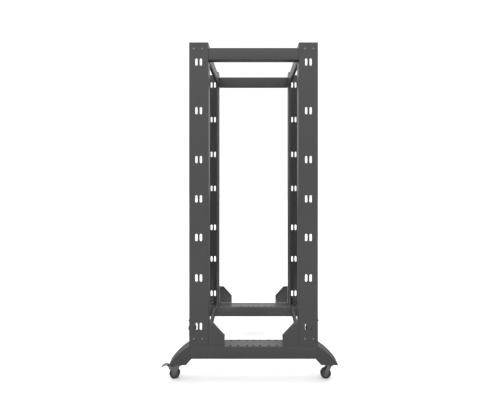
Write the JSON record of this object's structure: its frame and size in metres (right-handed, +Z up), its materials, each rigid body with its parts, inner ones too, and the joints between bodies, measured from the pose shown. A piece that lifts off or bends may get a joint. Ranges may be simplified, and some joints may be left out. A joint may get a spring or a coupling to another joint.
{
  "type": "open-frame server rack",
  "caption": "Open-frame server rack: drilled channel posts on base beams with curved feet, joined by top beams and cross members, rolling on swivel casters, some with brake pedals.",
  "frame": {"origin": "middle of the overall box, on the floor that the wheels stand on", "axes": "+Z up; -X is the front, the end that the casters trail towards; -Y is the right-hand side seen from the front"},
  "size_m": [0.8378, 0.6, 1.5935],
  "materials": {
    "frame_steel": "fine-textured dark grey powder coat",
    "caster_metal": "dark plated pressed steel",
    "wheel_hub": "moulded black plastic",
    "tyre": "smooth dark rubber tread"
  },
  "bodies": {
    "frame": {"base_beam_left": "frame_steel", "base_beam_right": "frame_steel", "base_bracket_front_left": "frame_steel", "base_bracket_front_right": "frame_steel", "base_bracket_rear_left": "frame_steel", "base_bracket_rear_right": "frame_steel", "base_cross_member_front": "frame_steel", "base_cross_member_rear": "frame_steel", "caster_plate_front_left": "caster_metal", "caster_plate_front_right": "caster_metal", "caster_plate_rear_left": "caster_metal", "caster_plate_rear_right": "caster_metal", "foot_front_left": "frame_steel", "foot_front_right": "frame_steel", "foot_rear_left": "frame_steel", "foot_rear_right": "frame_steel", "gusset_front_left": "frame_steel", "gusset_front_right": "frame_steel", "gusset_rear_left": "frame_steel", "gusset_rear_right": "frame_steel", "kingpin_front_left": "caster_metal", "kingpin_front_right": "caster_metal", "kingpin_rear_left": "caster_metal", "kingpin_rear_right": "caster_metal", "post_front_left": "frame_steel", "post_front_right": "frame_steel", "post_rear_left": "frame_steel", "post_rear_right": "frame_steel", "top_beam_left": "frame_steel", "top_beam_right": "frame_steel", "top_bracket_front_left": "frame_steel", "top_bracket_front_right": "frame_steel", "top_bracket_rear_left": "frame_steel", "top_bracket_rear_right": "frame_steel", "top_cross_member_front": "frame_steel", "top_cross_member_rear": "frame_steel"},
    "swivel_front_right": {"caster_fork_front_right": "caster_metal", "axle_bolt_front_right": "caster_metal", "axle_nut_front_right": "caster_metal"},
    "wheel_front_right": {"wheel_hub_front_right": "wheel_hub", "tyre_front_right": "tyre"},
    "pedal_front_right": {"brake_pedal_front_right": "caster_metal"},
    "swivel_front_left": {"caster_fork_front_left": "caster_metal", "axle_bolt_front_left": "caster_metal", "axle_nut_front_left": "caster_metal"},
    "wheel_front_left": {"wheel_hub_front_left": "wheel_hub", "tyre_front_left": "tyre"},
    "swivel_rear_right": {"caster_fork_rear_right": "caster_metal", "axle_bolt_rear_right": "caster_metal", "axle_nut_rear_right": "caster_metal"},
    "wheel_rear_right": {"wheel_hub_rear_right": "wheel_hub", "tyre_rear_right": "tyre"},
    "swivel_rear_left": {"caster_fork_rear_left": "caster_metal", "axle_bolt_rear_left": "caster_metal", "axle_nut_rear_left": "caster_metal"},
    "wheel_rear_left": {"wheel_hub_rear_left": "wheel_hub", "tyre_rear_left": "tyre"},
    "pedal_rear_left": {"brake_pedal_rear_left": "caster_metal"}
  },
  "joints": [
    {"name": "caster_swivel_front_right", "type": "hinge", "parent": "frame", "child": "swivel_front_right", "pos_m": [-0.34015, -0.2625, 0.07], "axis": [0, 0, 1], "continuous": true},
    {"name": "wheel_spin_front_right", "type": "hinge", "parent": "swivel_front_right", "child": "wheel_front_right", "pos_m": [-0.35615, -0.2625, 0.025], "axis": [0, 1, 0], "continuous": true},
    {"name": "brake_pedal_press_front_right", "type": "hinge", "parent": "swivel_front_right", "child": "pedal_front_right", "pos_m": [-0.37815, -0.2625, 0.052], "axis": [0, -1, 0], "range_deg": [0, 18]},
    {"name": "caster_swivel_front_left", "type": "hinge", "parent": "frame", "child": "swivel_front_left", "pos_m": [-0.34015, 0.2625, 0.07], "axis": [0, 0, 1], "continuous": true},
    {"name": "wheel_spin_front_left", "type": "hinge", "parent": "swivel_front_left", "child": "wheel_front_left", "pos_m": [-0.35615, 0.2625, 0.025], "axis": [0, 1, 0], "continuous": true},
    {"name": "caster_swivel_rear_right", "type": "hinge", "parent": "frame", "child": "swivel_rear_right", "pos_m": [0.38185, -0.2625, 0.07], "axis": [0, 0, 1], "continuous": true},
    {"name": "wheel_spin_rear_right", "type": "hinge", "parent": "swivel_rear_right", "child": "wheel_rear_right", "pos_m": [0.36585, -0.2625, 0.025], "axis": [0, 1, 0], "continuous": true},
    {"name": "caster_swivel_rear_left", "type": "hinge", "parent": "frame", "child": "swivel_rear_left", "pos_m": [0.38185, 0.2625, 0.07], "axis": [0, 0, 1], "continuous": true},
    {"name": "wheel_spin_rear_left", "type": "hinge", "parent": "swivel_rear_left", "child": "wheel_rear_left", "pos_m": [0.36585, 0.2625, 0.025], "axis": [0, 1, 0], "continuous": true},
    {"name": "brake_pedal_press_rear_left", "type": "hinge", "parent": "swivel_rear_left", "child": "pedal_rear_left", "pos_m": [0.34385, 0.2625, 0.052], "axis": [0, -1, 0], "range_deg": [0, 18]}
  ]
}
